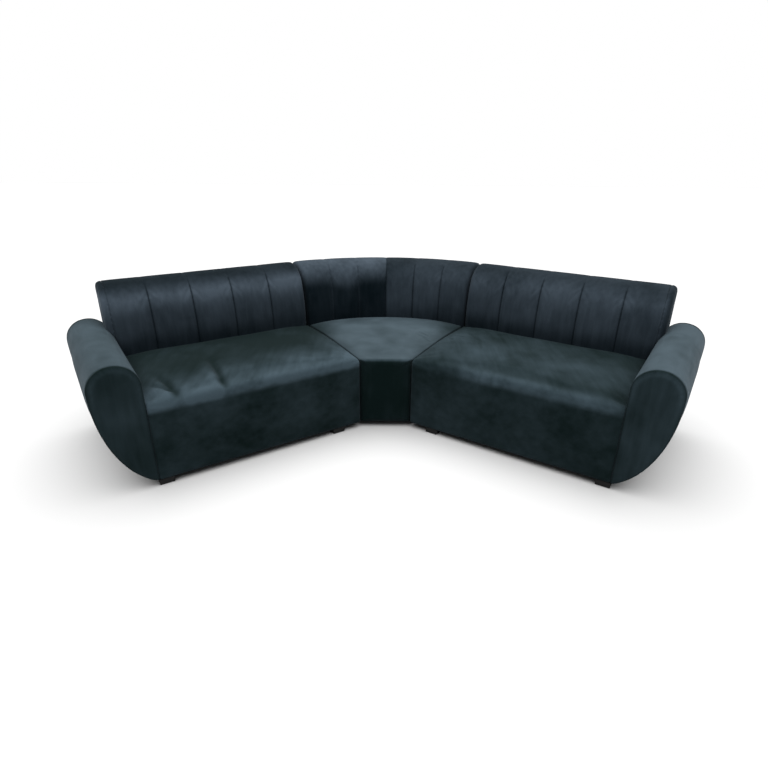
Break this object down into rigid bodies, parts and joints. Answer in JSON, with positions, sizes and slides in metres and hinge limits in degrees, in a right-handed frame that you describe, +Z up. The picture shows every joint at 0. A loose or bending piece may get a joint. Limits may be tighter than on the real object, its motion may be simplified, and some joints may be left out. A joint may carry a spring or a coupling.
{
  "type": "sectional sofa",
  "caption": "Corner sectional sofa: a curved corner unit and mirrored armed wings with channelled backs, rolled seats and bow-sided round-top arms on low block feet.",
  "frame": {"origin": "middle of the sofa's plan box, on the floor", "axes": "+X to the right of someone facing the sofa, +Y from the open front to the curved back, +Z up"},
  "size_m": [3.3038, 1.5886, 0.8014],
  "materials": {
    "velvet": "dark slate-teal brushed velvet over foam, soft sheen, mottled nap",
    "pine": "sawn pine, unfinished",
    "plywood": "plywood, unfinished, ply edges",
    "webbing": "woven elastic webbing",
    "black_lining": "thin non-woven black lining",
    "black_foot": "moulded black, matt",
    "zinc_steel": "zinc-plated steel"
  },
  "bodies": {
    "corner": {"corner_back_pad": "velvet", "corner_back_rails": "pine", "corner_back_webbing": "webbing", "corner_dust_cover": "black_lining", "corner_feet": "black_foot", "corner_front_facing": "velvet", "corner_front_rail": "pine", "corner_outside_back": "velvet", "corner_pockets": "zinc_steel", "corner_rear_rail": "pine", "corner_screws": "zinc_steel", "corner_seat_pad": "velvet", "corner_seat_webbing": "webbing", "corner_side_frames": "plywood", "corner_side_linings": "black_lining", "corner_spine": "pine"},
    "left_wing": {"left_arm_formers": "plywood", "left_arm_front_facing": "velvet", "left_arm_pad": "velvet", "left_arm_rails": "pine", "left_arm_rear_facing": "velvet", "left_arm_side_board": "plywood", "left_back_pad": "velvet", "left_back_rails": "pine", "left_back_webbing": "webbing", "left_centre_stretcher": "pine", "left_connector_hooks": "zinc_steel", "left_dust_cover": "black_lining", "left_feet": "black_foot", "left_front_rail": "pine", "left_inner_end_frame": "plywood", "left_inner_end_lining": "black_lining", "left_outer_end_frame": "plywood", "left_outside_back": "velvet", "left_rear_rail": "pine", "left_screws": "zinc_steel", "left_seat_pad": "velvet", "left_seat_webbing": "webbing"},
    "right_wing": {"right_arm_formers": "plywood", "right_arm_front_facing": "velvet", "right_arm_pad": "velvet", "right_arm_rails": "pine", "right_arm_rear_facing": "velvet", "right_arm_side_board": "plywood", "right_back_pad": "velvet", "right_back_rails": "pine", "right_back_webbing": "webbing", "right_centre_stretcher": "pine", "right_connector_hooks": "zinc_steel", "right_dust_cover": "black_lining", "right_feet": "black_foot", "right_front_rail": "pine", "right_inner_end_frame": "plywood", "right_inner_end_lining": "black_lining", "right_outer_end_frame": "plywood", "right_outside_back": "velvet", "right_rear_rail": "pine", "right_screws": "zinc_steel", "right_seat_pad": "velvet", "right_seat_webbing": "webbing"}
  },
  "joints": [
    {"name": "left_wing_lift", "type": "slide", "parent": "corner", "child": "left_wing", "axis": [0, 0, 1], "range_m": [0, 0.06]},
    {"name": "right_wing_lift", "type": "slide", "parent": "corner", "child": "right_wing", "axis": [0, 0, 1], "range_m": [0, 0.06]}
  ]
}
